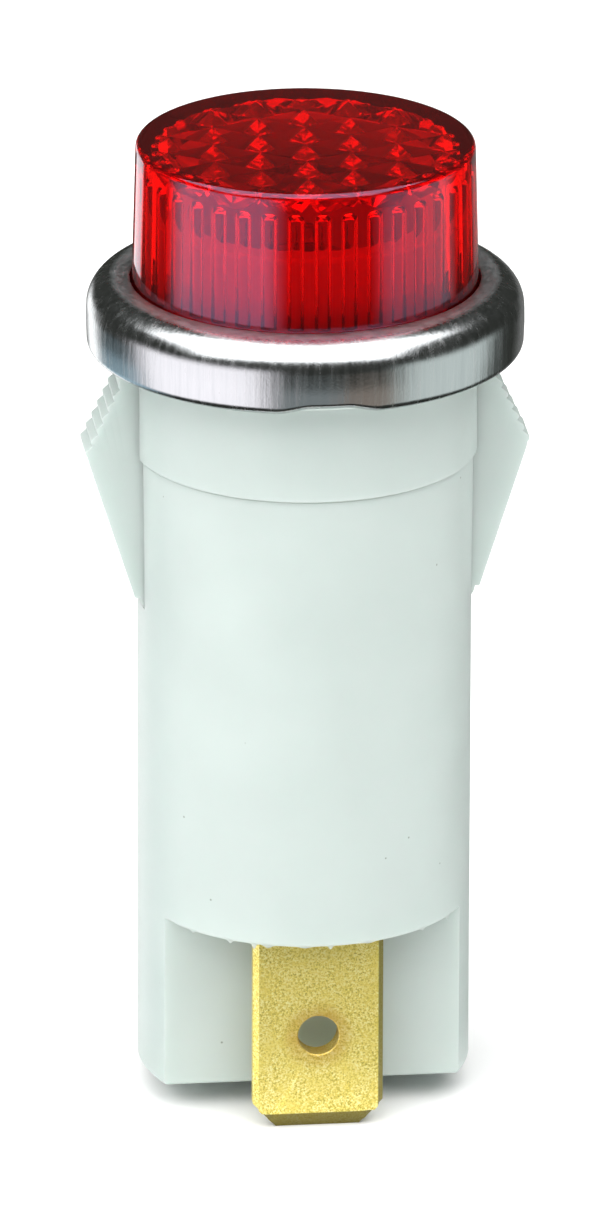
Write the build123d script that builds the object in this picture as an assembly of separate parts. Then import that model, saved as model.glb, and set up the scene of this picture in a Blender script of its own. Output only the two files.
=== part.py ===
from build123d import *
import math
import os

# Snap-in panel indicator light for a 12.7 mm (1/2 in) hole, in millimetres.
# +Z points out of the panel, -Y is the side with the front terminal. The origin lies on the
# light's axis, in the plane of the panel's face, where the flange and the bezel's edge rest.

# Housing
FLANGE_RADIUS = 7.55
FLANGE_HEIGHT = 1.5
SEAT_RADIUS = 7.1
FLANGE_CHAMFER = 0.45
COLLAR_RADIUS = 6.235
COLLAR_BOTTOM = -3.84
BARREL_RADIUS = 6.05
BARREL_DRAFT = 0.05
DRAFT_BOTTOM = -9.9
BARREL_BOTTOM = -20.98
FLOOR_TOP = -19.5
CAVITY_RADIUS = 5.1
NECK_RADIUS = 5.1
NECK_BORE = 4.3
NECK_TOP = 5.05
BLOCK_BOTTOM = -27.52
BLOCK_HALF_DEPTH = 2.75
BLOCK_ROUND = 0.25
NECK_ROUND = 0.2
COLLAR_ROUND = 0.08
BARREL_ROUND = 0.12
CELL_WIDTH = 8.4
CELL_DEPTH = 3.5
CELL_BOTTOM = -26.5
SLOT_WIDTH = 2.3

# Bezel, rolled from one sheet
SHEET = 0.3
BEZEL_RADIUS = 7.9
LIP_RADIUS = 6.3
LIP_HEIGHT = 2.48
LIP_RISE = 0.06
SHOULDER_ROUND = 0.95
ROLL_ANGLE = 60
ROLL_LENGTH = 0.25
ROLL_ROUND = 0.2
NOTCH_WIDTH = 3.6
NOTCH_HEIGHT = 0.38

# Lens
LENS_TOP = 7.75
LENS_TOP_RADIUS = 6.1
LENS_BASE_RADIUS = 6.25
LENS_EDGE_ROUND = 0.25
LENS_BORE = 5.25
LENS_CEILING = 6.95
LENS_FLANGE_RADIUS = 7.45
LENS_FLANGE_TOP = 2.3
FLUTES = 36
FLUTE_RADIUS = 0.28
FLUTE_BOTTOM = 2.47
FLUTE_TOP = 6.5

# Snap wings
WING_THICKNESS = 2.0
PIVOT_X = 5.6
PIVOT_Z = -9.15
ROOT_RADIUS = 0.5
HINGE_CLEARANCE = 0.03
WING_TOP = -0.45
TOOTH_COUNT = 7
TOOTH_PITCH = 0.42
NOSE_X = 8.05
NOSE_Z = -3.6

# Terminal tabs
TAB_WIDTH = 4.75
TAB_THICKNESS = 0.8
TAB_FACE = 4.9
TAB_TIP = -28.48
TAB_HOLE_RADIUS = 0.75
TAB_HOLE_Z = -24.88
TIP_CHAMFER_WIDTH = 0.85
TIP_CHAMFER_HEIGHT = 0.95
TIP_BEVEL_DEPTH = 0.3
TIP_BEVEL_HEIGHT = 0.6
EDGE_CHAMFER = 0.2
SHOULDER_WIDTH = 5.2
SHOULDER_HEIGHT = 0.9
TAIL_WIDTH = 2.4
TAIL_TOP = -14.6
EYELET_RADIUS = 0.45
EYELET_Z = -15.5
POCKET_WIDTH = 5.3
POCKET_FACE = 5.0

# Lamp, resistor and wiring
BULB_RADIUS = 2.9
BULB_WALL = 0.45
BULB_TOP = 4.4
BULB_BOTTOM = -11.5
SEAL_HEIGHT = 2.4
ELECTRODE_RADIUS = 0.4
ELECTRODE_Y = 0.8
ELECTRODE_TOP = -0.6
WIRE_RADIUS = 0.25
RESISTOR_RADIUS = 1.15
RESISTOR_LENGTH = 6.3
RESISTOR_Z = -24.0
RISER_X = 3.75
SLEEVE_WALL = 0.15
RISER_SLEEVE_TOP = -18.5
SPLICE_RADIUS = 0.6
SPLICE_Z = -16.8
SPLICE_LENGTH = 2.6
SOLDER_RADIUS = 0.85


def turned(*outline):
    """A solid turned about Z from a closed outline of (radius, height) points."""
    points = [(radius, 0, height) for radius, height in outline]
    return revolve(make_face(Polyline(*points, close=True)), Axis.Z)


def rounded(solid, radius, height, amount):
    """The same solid with its circular edge of this radius and height rounded."""
    level = solid.edges().filter_by_position(Axis.Z, height - 0.01, height + 0.01)
    circles = level.filter_by(GeomType.CIRCLE)
    rim = [edge for edge in circles if abs(edge.radius - radius) < 0.01]
    return fillet(rim, amount)


def block(width, depth, bottom, top, y=0.0):
    """A box centred on x = 0 and on the given y, from one height to another."""
    return Pos(0, y, (bottom + top) / 2) * Box(width, depth, top - bottom)


def drilled(radius, x, z, length):
    """A cylinder along Y, for holes and for the wings' round roots."""
    return Pos(x, 0, z) * Rot(90, 0, 0) * Cylinder(radius, length)


def wire(points, bend_radius, radius):
    """A round wire whose straight runs are joined by tangent bends."""
    route = FilletPolyline(*points, radius=bend_radius)
    section = Plane(origin=route @ 0, z_dir=route % 0) * Circle(radius)
    return sweep(section, path=route)


def sleeve_between(start, end):
    """An insulating sleeve round a wire's straight run between two points."""
    run = Vector(end) - Vector(start)
    section = Circle(WIRE_RADIUS + SLEEVE_WALL) - Circle(WIRE_RADIUS)
    return extrude(Plane(origin=start, z_dir=run) * section, amount=run.length)


def barrel():
    """Neck, flange, collar, slightly drafted upper barrel and parallel lower barrel."""
    body = turned(
        (0, NECK_TOP),
        (NECK_RADIUS, NECK_TOP),
        (NECK_RADIUS, FLANGE_HEIGHT),
        (FLANGE_RADIUS, FLANGE_HEIGHT),
        (FLANGE_RADIUS, FLANGE_CHAMFER),
        (SEAT_RADIUS + 0.1, 0.23),
        (SEAT_RADIUS, 0),
        (COLLAR_RADIUS, 0),
        (COLLAR_RADIUS, COLLAR_BOTTOM),
        (BARREL_RADIUS + BARREL_DRAFT, COLLAR_BOTTOM),
        (BARREL_RADIUS, DRAFT_BOTTOM),
        (BARREL_RADIUS, BARREL_BOTTOM),
        (0, BARREL_BOTTOM),
    )
    body = rounded(body, NECK_RADIUS, NECK_TOP, NECK_ROUND)
    body = rounded(body, COLLAR_RADIUS, COLLAR_BOTTOM, COLLAR_ROUND)
    return rounded(body, BARREL_RADIUS, BARREL_BOTTOM, BARREL_ROUND)


def divider():
    """The block under the floor that keeps the two terminals apart."""
    height = BARREL_BOTTOM - BLOCK_BOTTOM + 0.5
    round_bar = Pos(0, 0, BLOCK_BOTTOM + height / 2) * Cylinder(BARREL_RADIUS, height)
    slab = round_bar & block(20, 2 * BLOCK_HALF_DEPTH, BLOCK_BOTTOM, BLOCK_BOTTOM + height)
    foot = slab.faces().sort_by(Axis.Z)[0].edges()
    return fillet(foot, BLOCK_ROUND)


def wing_slot(side):
    """The window that one wing swings through, with a round seat for its root."""
    width = BARREL_RADIUS - CAVITY_RADIUS + 2.0
    centre_x = CAVITY_RADIUS + width / 2 - 0.6
    window = Pos(side * centre_x, 0, PIVOT_Z / 2) * Box(width, SLOT_WIDTH, -PIVOT_Z)
    seat = drilled(ROOT_RADIUS + HINGE_CLEARANCE, side * PIVOT_X, PIVOT_Z, SLOT_WIDTH)
    return window + seat


def housing():
    """The moulded body, with its cavity, wing windows, terminal slots and resistor cell."""
    body = barrel() + divider()
    body -= Pos(0, 0, FLOOR_TOP / 2) * Cylinder(CAVITY_RADIUS, -FLOOR_TOP)
    body -= Pos(0, 0, NECK_TOP / 2) * Cylinder(NECK_BORE, NECK_TOP)
    body -= block(CELL_WIDTH, CELL_DEPTH, CELL_BOTTOM, FLOOR_TOP)
    for side in (-1, 1):
        body -= wing_slot(side)
        body -= block(POCKET_WIDTH, 2.0, FLOOR_TOP, TAIL_TOP, side * (POCKET_FACE - 1.0))
        slot_y = side * (TAB_FACE - TAB_THICKNESS / 2)
        body -= block(TAB_WIDTH, TAB_THICKNESS, BARREL_BOTTOM - 1, FLOOR_TOP + 1, slot_y)
    return body


def bezel_ring():
    """The steel ring: a level lip, a broad round shoulder, a band and a rolled-in lower edge."""
    band = BEZEL_RADIUS - SHEET / 2
    roll = math.radians(ROLL_ANGLE)
    end_z = SHEET / 2 * math.sin(roll)
    points = (
        (LIP_RADIUS, LIP_HEIGHT),
        (band, LIP_HEIGHT + LIP_RISE),
        (band, end_z + ROLL_LENGTH * math.cos(roll)),
        (band - ROLL_LENGTH * math.sin(roll), end_z),
    )
    middle = FilletPolyline(*points, radius=(SHOULDER_ROUND, ROLL_ROUND))
    ring = revolve(Plane.XZ * trace(middle, line_width=SHEET), Axis.Z)
    for side in (-1, 1):
        notch = block(NOTCH_WIDTH, 4.0, -0.5, NOTCH_HEIGHT, side * BEZEL_RADIUS)
        ring -= notch
    return ring


def flute(turn):
    """One rounded groove in the lens's inner wall, closed by a round top."""
    height = FLUTE_TOP - FLUTE_BOTTOM
    column = Pos(LENS_BORE, 0, FLUTE_BOTTOM + height / 2) * Cylinder(FLUTE_RADIUS, height)
    column += Pos(LENS_BORE, 0, FLUTE_TOP) * Sphere(FLUTE_RADIUS)
    return Rot(0, 0, turn) * column


def lens_cap():
    """The red cap lens, fluted inside, held by its flange under the bezel's lip."""
    shell = turned(
        (0, LENS_CEILING),
        (LENS_BORE, LENS_CEILING),
        (LENS_BORE, FLANGE_HEIGHT),
        (LENS_FLANGE_RADIUS, FLANGE_HEIGHT),
        (LENS_FLANGE_RADIUS, FLANGE_HEIGHT + 0.4),
        (LENS_FLANGE_RADIUS - 0.45, LENS_FLANGE_TOP),
        (LENS_BASE_RADIUS, LENS_FLANGE_TOP),
        (LENS_TOP_RADIUS, LENS_TOP),
        (0, LENS_TOP),
    )
    rim = shell.edges().filter_by(GeomType.CIRCLE).sort_by(Axis.Z)[-1]
    shell = fillet(rim, LENS_EDGE_ROUND)
    return shell - [flute(i * 360 / FLUTES) for i in range(FLUTES)]


def tooth_points():
    """The stair of small steps down a wing's upper slope, from the top to the nose."""
    points = []
    for i in range(TOOTH_COUNT):
        low_z = NOSE_Z + (TOOTH_COUNT - 1 - i) * TOOTH_PITCH
        low_x = NOSE_X - (TOOTH_COUNT - 1 - i) * 0.2
        points.append((low_x, low_z + 0.13))
        points.append((low_x, low_z))
        points.append((low_x - 0.06, low_z - 0.06))
    return points


def right_wing():
    """A toothed wedge on a round root, about which it swings into the barrel."""
    outline = [
        (PIVOT_X - ROOT_RADIUS, PIVOT_Z),
        (6.0, WING_TOP),
        (6.66, WING_TOP),
        (6.76, WING_TOP - 0.1),
        *tooth_points(),
        (7.94, -3.9),
        (6.27, PIVOT_Z),
    ]
    face = make_face(Polyline(*[(x, 0, z) for x, z in outline], close=True))
    wedge = extrude(face, amount=WING_THICKNESS / 2, both=True, dir=(0, 1, 0))
    return wedge + drilled(ROOT_RADIUS, PIVOT_X, PIVOT_Z, WING_THICKNESS)


def front_tab():
    """A 4.75 x 0.8 mm blade with a detent hole, shoulders on the floor and a solder tail."""
    y = TAB_THICKNESS / 2 - TAB_FACE
    half = TAB_WIDTH / 2
    blade = [
        (-half, FLOOR_TOP),
        (-half, TAB_TIP + TIP_CHAMFER_HEIGHT),
        (TIP_CHAMFER_WIDTH - half, TAB_TIP),
        (half - TIP_CHAMFER_WIDTH, TAB_TIP),
        (half, TAB_TIP + TIP_CHAMFER_HEIGHT),
        (half, FLOOR_TOP),
    ]
    face = make_face(Polyline(*[(x, y, z) for x, z in blade], close=True))
    tab = extrude(face, amount=TAB_THICKNESS / 2, both=True, dir=(0, 1, 0))
    sides = tab.edges().filter_by(Axis.Z).group_by(Axis.X)
    tab = chamfer(sides[0] + sides[-1], EDGE_CHAMFER)
    tab += block(SHOULDER_WIDTH, TAB_THICKNESS, FLOOR_TOP, FLOOR_TOP + SHOULDER_HEIGHT, y)
    tail_end = TAIL_TOP - TAIL_WIDTH / 2
    tab += block(TAIL_WIDTH, TAB_THICKNESS, FLOOR_TOP, tail_end, y)
    tab += Pos(0, y, 0) * drilled(TAIL_WIDTH / 2, 0, tail_end, TAB_THICKNESS)
    tab -= Pos(0, y, 0) * drilled(EYELET_RADIUS, 0, EYELET_Z, 2 * TAB_THICKNESS)
    tab -= Pos(0, y, 0) * drilled(TAB_HOLE_RADIUS, 0, TAB_HOLE_Z, 2 * TAB_THICKNESS)
    for face_y, inward in ((-TAB_FACE, 1), (TAB_THICKNESS - TAB_FACE, -1)):
        bevel = Polyline(
            (0, face_y, TAB_TIP),
            (0, face_y + inward * TIP_BEVEL_DEPTH, TAB_TIP),
            (0, face_y, TAB_TIP + TIP_BEVEL_HEIGHT),
            close=True,
        )
        tab -= extrude(make_face(bevel), amount=TAB_WIDTH, both=True, dir=(1, 0, 0))
    return tab


def lead_routes():
    """Where each wire runs, from the lamp's seal to the two terminals' eyelets."""
    eyelet = (0, -TAB_FACE + 0.2, EYELET_Z)
    front = [
        (0, -ELECTRODE_Y, BULB_BOTTOM + SEAL_HEIGHT),
        (0, -ELECTRODE_Y, BULB_BOTTOM - 1.0),
        (0, -3.0, EYELET_Z),
        eyelet,
    ]
    rear = [
        (0, ELECTRODE_Y, BULB_BOTTOM + SEAL_HEIGHT),
        (0, ELECTRODE_Y, BULB_BOTTOM - 1.0),
        (-RISER_X, 0, BULB_BOTTOM - 2.8),
        (-RISER_X, 0, SPLICE_Z),
    ]
    left = [
        (-RESISTOR_LENGTH / 2, 0, RESISTOR_Z),
        (-RISER_X, 0, RESISTOR_Z),
        (-RISER_X, 0, SPLICE_Z),
    ]
    right = [
        (RESISTOR_LENGTH / 2, 0, RESISTOR_Z),
        (RISER_X, 0, RESISTOR_Z),
        (RISER_X, 0, EYELET_Z - 2.0),
        (0, 3.0, EYELET_Z),
        (0, TAB_FACE - 0.2, EYELET_Z),
    ]
    return {
        "front_lamp_lead": (front, (0.6, 0.6)),
        "rear_lamp_lead": (rear, (0.6, 0.6)),
        "resistor_left_lead": (left, 0.4),
        "resistor_right_lead": (right, (0.4, 0.8, 0.6)),
    }


def lamp_envelope():
    """The sealed glass bulb: a dome with an exhaust tip, a tube and a solid pressed seal."""
    inner = BULB_RADIUS - BULB_WALL
    seal_top = BULB_BOTTOM + SEAL_HEIGHT
    dome_z = BULB_TOP - 0.8 - BULB_RADIUS
    glass = Pos(0, 0, (BULB_BOTTOM + dome_z) / 2) * Cylinder(BULB_RADIUS, dome_z - BULB_BOTTOM)
    glass += Pos(0, 0, dome_z) * Sphere(BULB_RADIUS)
    glass += Pos(0, 0, BULB_TOP - 0.9) * Cone(0.75, 0.3, 1.8)
    glass -= Pos(0, 0, (seal_top + dome_z) / 2) * Cylinder(inner, dome_z - seal_top)
    glass -= Pos(0, 0, dome_z) * Sphere(inner)
    for y in (-ELECTRODE_Y, ELECTRODE_Y):
        glass -= Pos(0, y, BULB_BOTTOM) * Cylinder(WIRE_RADIUS, 3 * SEAL_HEIGHT)
    return glass


def electrode(y):
    """One nickel rod standing on its lead inside the bulb."""
    seal_top = BULB_BOTTOM + SEAL_HEIGHT
    height = ELECTRODE_TOP - seal_top
    rod = Pos(0, y, seal_top + height / 2) * Cylinder(ELECTRODE_RADIUS, height)
    return fillet(rod.edges().filter_by(GeomType.CIRCLE).sort_by(Axis.Z)[-1], 0.2)


def resistor_body():
    """A lacquered resistor with a slightly larger round at each end."""
    straight = Rot(0, 90, 0) * Cylinder(RESISTOR_RADIUS - 0.12, RESISTOR_LENGTH)
    body = fillet(straight.edges().filter_by(GeomType.CIRCLE), 0.3)
    for side in (-1, 1):
        end = Rot(0, 90, 0) * Cylinder(RESISTOR_RADIUS, 1.5)
        end = fillet(end.edges().filter_by(GeomType.CIRCLE), 0.35)
        body += Pos(side * (RESISTOR_LENGTH / 2 - 0.75), 0, 0) * end
    return Pos(0, 0, RESISTOR_Z) * body


def resistor_sleeve():
    """The insulating tube round the resistor."""
    outer = Cylinder(RESISTOR_RADIUS + SLEEVE_WALL, RESISTOR_LENGTH)
    tube = outer - Cylinder(RESISTOR_RADIUS, RESISTOR_LENGTH)
    return Pos(0, 0, RESISTOR_Z) * Rot(0, 90, 0) * tube


def lead_splice():
    """The crimp ferrule that joins the rear lamp lead to the resistor."""
    bore = Cylinder(WIRE_RADIUS, 2 * SPLICE_LENGTH)
    ferrule = Cylinder(SPLICE_RADIUS, SPLICE_LENGTH) - bore
    for height in (-0.65, 0.65):
        groove = Cylinder(SPLICE_RADIUS + 1, 0.35) - Cylinder(SPLICE_RADIUS - 0.12, 0.35)
        ferrule -= Pos(0, 0, height) * groove
    return Pos(-RISER_X, 0, SPLICE_Z) * ferrule


def front_lead_sleeve():
    """The sleeve on the sloping run of the front lead."""
    start, end = Vector(0, -ELECTRODE_Y, BULB_BOTTOM - 1.0), Vector(0, -3.0, EYELET_Z)
    slope = (end - start).normalized()
    return sleeve_between(start + slope * 0.3, end - slope * 0.5)


def riser_sleeve(side):
    """The sleeve on the upright run of one of the resistor's leads."""
    return sleeve_between(
        (side * RISER_X, 0, RESISTOR_Z + 0.8), (side * RISER_X, 0, RISER_SLEEVE_TOP)
    )


def solder_joint(tab, lead, side):
    """A bead of solder round a lead, on the inner face of a terminal's tail."""
    face_y = side * (TAB_FACE - TAB_THICKNESS)
    bead = Pos(0, face_y, EYELET_Z) * Sphere(SOLDER_RADIUS)
    half_space = block(4, 4, EYELET_Z - 2, EYELET_Z + 2, face_y - side * 2)
    return (bead & half_space) - lead - tab


def main():
    """Builds every sub-part and writes one file for each."""
    routes = lead_routes()
    leads = {name: wire(points, bends, WIRE_RADIUS) for name, (points, bends) in routes.items()}
    terminal = front_tab()
    rear_terminal = Rot(0, 0, 180) * terminal
    wing = right_wing()
    parts = {
        "housing": housing(),
        "bezel_ring": bezel_ring(),
        "lens_cap": lens_cap(),
        "right_snap_wing": wing,
        "left_snap_wing": mirror(wing, about=Plane.YZ),
        "front_terminal_tab": terminal,
        "rear_terminal_tab": rear_terminal,
        "lamp_envelope": lamp_envelope(),
        "front_electrode": electrode(-ELECTRODE_Y),
        "rear_electrode": electrode(ELECTRODE_Y),
        **leads,
        "front_lead_sleeve": front_lead_sleeve(),
        "left_riser_sleeve": riser_sleeve(-1),
        "right_riser_sleeve": riser_sleeve(1),
        "resistor_body": resistor_body(),
        "resistor_sleeve": resistor_sleeve(),
        "lead_splice": lead_splice(),
        "front_solder_joint": solder_joint(terminal, leads["front_lamp_lead"], -1),
        "rear_solder_joint": solder_joint(rear_terminal, leads["resistor_right_lead"], 1),
    }
    os.makedirs("parts", exist_ok=True)
    for name, shape in parts.items():
        export_step(shape, f"parts/{name}.step")
        print(f"{name}: {shape.volume:.2f} mm3")


main()
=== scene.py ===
"""Visual model of a snap-in panel indicator light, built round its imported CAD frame.

Everything is in the CAD's frame, in metres once it reaches a mesh. +Z points out of the panel,
-Y is the side with the front terminal, and the origin lies on the light's axis in the plane of
the panel's face. Sizes in the classes below are millimetres.
"""

import logging
import math
from dataclasses import dataclass, field
from enum import Enum
from typing import Any, Optional, Sequence

import bmesh
import bpy
import numpy as np
from mathutils import Matrix, Vector


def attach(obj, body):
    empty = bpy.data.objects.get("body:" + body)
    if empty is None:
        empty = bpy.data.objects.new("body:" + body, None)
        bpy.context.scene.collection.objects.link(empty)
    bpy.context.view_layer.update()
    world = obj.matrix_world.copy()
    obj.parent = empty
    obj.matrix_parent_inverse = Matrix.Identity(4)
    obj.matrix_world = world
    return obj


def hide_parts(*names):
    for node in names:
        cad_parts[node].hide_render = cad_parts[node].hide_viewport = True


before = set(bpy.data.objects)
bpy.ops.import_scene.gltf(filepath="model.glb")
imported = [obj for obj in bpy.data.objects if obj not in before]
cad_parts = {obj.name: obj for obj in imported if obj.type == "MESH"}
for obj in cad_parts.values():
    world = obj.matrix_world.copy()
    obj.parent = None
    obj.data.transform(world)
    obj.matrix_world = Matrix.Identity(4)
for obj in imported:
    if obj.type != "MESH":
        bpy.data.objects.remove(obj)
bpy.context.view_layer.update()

LOG = logging.getLogger("indicator_light")
MM = 0.001
TURN = 2.0 * math.pi
SHARP = math.radians(25.0)  # Edges at least this steep are shaded as sharp.
WELD = 2e-7  # Points nearer to each other than this, in metres, become one.
Socket, Tree, Piece = bpy.types.NodeSocket, bpy.types.NodeTree, bpy.types.Object


class Body(str, Enum):
    """The CAD bodies that pieces ride on."""

    SHELL = "body"
    LEFT_WING = "left_wing"
    RIGHT_WING = "right_wing"


class Slot(str, Enum):
    """The material slots."""

    NYLON = "natural_nylon"
    STEEL = "stainless_steel"
    LENS = "red_lens"
    BRASS = "brass"
    GLASS = "lamp_glass"
    NICKEL = "nickel"
    WIRE = "tinned_wire"
    SLEEVE = "sleeving"
    LACQUER = "resistor_lacquer"
    FERRULE = "tinned_ferrule"
    SOLDER = "solder"


class Chart(Enum):
    """How a soft light's place on the studio sky is given."""

    COMPASS = "bearing and height"
    ARCH = "angle up over the front and angle to the side"


# ---------------------------------------------------------------- colour and node helpers


def linear(hex_colour: str) -> tuple[float, float, float, float]:
    """Turns an sRGB hex colour to linear RGBA.

    Args:
        hex_colour: Six hex digits, with or without a leading #.

    Returns:
        Linear red, green and blue, and an alpha of 1.
    """
    code = hex_colour.lstrip("#")
    parts = np.array([int(code[i : i + 2], 16) for i in (0, 2, 4)]) / 255.0
    low, high = parts / 12.92, ((parts + 0.055) / 1.055) ** 2.4
    red, green, blue = np.where(parts <= 0.04045, low, high).tolist()
    return red, green, blue, 1.0


def per_mm(period: float) -> float:
    """The texture scale that gives a pattern this period in millimetres on metre coordinates."""
    return 1.0 / (period * MM)


def plug(tree: Tree, node: bpy.types.Node, inputs: dict[Any, Any]) -> None:
    """Sets a node's sockets, each to a value or linked from an output socket."""
    for key, value in inputs.items():
        if isinstance(value, Socket):
            tree.links.new(value, node.inputs[key])
        else:
            node.inputs[key].default_value = value


def add_node(
    tree: Tree,
    kind: str,
    settings: Optional[dict[str, Any]] = None,
    inputs: Optional[dict[Any, Any]] = None,
) -> bpy.types.Node:
    """Adds one node with its settings, input values and links.

    Args:
        tree: The node tree that gets the node.
        kind: The node's type name.
        settings: Attribute values to set on the node.
        inputs: Socket name or index to a value, or to an output socket to link from.

    Returns:
        The new node.
    """
    node = tree.nodes.new(kind)
    for name, value in (settings or {}).items():
        setattr(node, name, value)
    plug(tree, node, inputs or {})
    return node


# ---------------------------------------------------------------- surface helpers


def rounded_outline(
    corners: Sequence[tuple[float, float]], rounds: Sequence[float], steps: int = 6
) -> np.ndarray:
    """A closed outline with an arc at each corner.

    An arc of radius r touches both sides at r / tan(h) from the corner, where h is half the
    angle between them. Its centre lies r / sin(h) along the line that halves the angle, and its
    points are that centre plus the first touching radius turned evenly to the last.

    Args:
        corners: The outline's corners, in order.
        rounds: Each corner's radius, or 0 for a sharp one.
        steps: Spans in each arc.

    Returns:
        An array of points, (steps + 1) for each corner.
    """
    point, radius = np.asarray(corners, float), np.asarray(rounds, float)[:, None]
    back = np.roll(point, 1, axis=0) - point
    onward = np.roll(point, -1, axis=0) - point
    back /= np.linalg.norm(back, axis=1, keepdims=True)
    onward /= np.linalg.norm(onward, axis=1, keepdims=True)
    half = np.arccos(np.clip((back * onward).sum(1), -1, 1))[:, None] / 2
    middle = back + onward
    size = np.linalg.norm(middle, axis=1, keepdims=True)
    middle = np.where(size > 1e-9, middle / np.maximum(size, 1e-9), 0.0)
    centre = point + middle * radius / np.sin(half)
    start = point + back * radius / np.tan(half) - centre
    end = point + onward * radius / np.tan(half) - centre
    cross = start[:, 0] * end[:, 1] - start[:, 1] * end[:, 0]
    sweep = np.arctan2(cross, (start * end).sum(1))[:, None] * np.linspace(0, 1, steps + 1)
    x = start[:, :1] * np.cos(sweep) - start[:, 1:] * np.sin(sweep)
    y = start[:, :1] * np.sin(sweep) + start[:, 1:] * np.cos(sweep)
    return (np.stack([x, y], axis=-1) + centre[:, None, :]).reshape(-1, 2)


def turned_grid(profile: np.ndarray, columns: int) -> np.ndarray:
    """A profile of (radius, height) carried round Z: (r cos a, r sin a, z).

    Args:
        profile: Points along the profile.
        columns: Steps round the axis.

    Returns:
        An array of profile points by columns by 3.
    """
    angle = np.arange(columns) * TURN / columns
    radius, height = profile[:, :1], profile[:, 1:]
    flat = np.ones_like(angle)[None, :]
    return np.stack([radius * np.cos(angle), radius * np.sin(angle), height * flat], axis=-1)


def grid_faces(rows: int, columns: int, close_rows: bool, first: int = 0) -> np.ndarray:
    """Quads over a grid of points whose columns join up into a ring.

    Args:
        rows: Points along the profile.
        columns: Points round the ring.
        close_rows: Whether the last row joins the first.
        first: The index of the grid's first point in the mesh.

    Returns:
        An array of four indices for each face.
    """
    row = np.arange(rows if close_rows else rows - 1)[:, None]
    column = np.arange(columns)[None, :]
    after_row, after_column = (row + 1) % rows, (column + 1) % columns
    quads = [row * columns + column, row * columns + after_column]
    quads += [after_row * columns + after_column, after_row * columns + column]
    return np.stack(np.broadcast_arrays(*quads), axis=-1).reshape(-1, 4) + first


def add_object(name: str, mesh: bpy.types.Mesh) -> Piece:
    """Puts a mesh into the scene as an object."""
    piece = bpy.data.objects.new(name, mesh)
    bpy.context.scene.collection.objects.link(piece)
    return piece


def add_piece(name: str, points: np.ndarray, faces: list[list[int]]) -> Piece:
    """Makes an object from points in millimetres and the faces between them."""
    mesh = bpy.data.meshes.new(name)
    mesh.from_pydata((points * MM).tolist(), [], faces)
    return add_object(name, mesh)


def solid_from_grid(
    name: str, grid: np.ndarray, close_rows: bool = False, cap_ends: bool = False
) -> Piece:
    """Makes a closed mesh object from one grid of points in millimetres.

    Args:
        name: The piece's name.
        grid: Rows by columns by 3. The columns form a ring.
        close_rows: Whether the last row joins the first.
        cap_ends: Whether the first and last rows are closed by a flat face each.

    Returns:
        The new object.
    """
    rows, columns = grid.shape[:2]
    faces = grid_faces(rows, columns, close_rows).tolist()
    if cap_ends:
        faces.append(list(range(columns)))
        faces.append([(rows - 1) * columns + i for i in reversed(range(columns))])
    piece = add_piece(name, grid.reshape(-1, 3), faces)
    tidy_mesh(piece)
    return piece


def tidy_mesh(piece: Piece) -> None:
    """Welds a piece's doubled points, turns its faces outwards and sets its shading.

    It is smooth except on faces of more than four corners and across sharp edges.

    Args:
        piece: The object to tidy.
    """
    shell = bmesh.new()
    shell.from_mesh(piece.data)
    bmesh.ops.remove_doubles(shell, verts=shell.verts, dist=WELD)
    bmesh.ops.dissolve_degenerate(shell, edges=shell.edges, dist=WELD)
    bmesh.ops.recalc_face_normals(shell, faces=shell.faces)
    shell.to_mesh(piece.data)
    shell.free()
    smooth = [len(face.vertices) <= 4 for face in piece.data.polygons]
    piece.data.polygons.foreach_set("use_smooth", smooth)
    piece.data.set_sharp_from_angle(angle=SHARP)


def join_pieces(name: str, parts: Sequence[Piece]) -> Piece:
    """Joins several closed shells into one piece, in one mesh.

    Args:
        name: The joined piece's name.
        parts: The objects to join. They are removed.

    Returns:
        The joined object.
    """
    shell = bmesh.new()
    for part in parts:
        shell.from_mesh(part.data)
    mesh = bpy.data.meshes.new(name)
    shell.to_mesh(mesh)
    shell.free()
    for part in parts:
        bpy.data.meshes.remove(part.data)
    mesh.set_sharp_from_angle(angle=SHARP)
    return add_object(name, mesh)


def combine(target: Piece, tool: Piece, operation: str) -> None:
    """Cuts or intersects a solid with another, exactly, and removes the tool.

    Args:
        target: The solid that is changed.
        tool: The solid it is combined with.
        operation: DIFFERENCE or INTERSECT.
    """
    step = target.modifiers.new(operation.lower(), "BOOLEAN")
    step.operation, step.solver, step.object = operation, "EXACT", tool
    bpy.context.view_layer.update()
    graph = bpy.context.evaluated_depsgraph_get()
    result = bpy.data.meshes.new_from_object(target.evaluated_get(graph))
    old = target.data
    target.modifiers.clear()
    target.data = result
    result.name = target.name
    bpy.data.meshes.remove(old)
    bpy.data.meshes.remove(tool.data)


def settle(piece: Piece, body: Body, slot: Slot, *nodes: str) -> None:
    """Hangs a finished piece on its body and hides the CAD nodes it stands in for."""
    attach(piece, body.value)
    if nodes:
        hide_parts(*nodes)
    LOG.info("%s: %d faces on %s", piece.name, len(piece.data.polygons), body.value)


# ---------------------------------------------------------------- finishes


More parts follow.
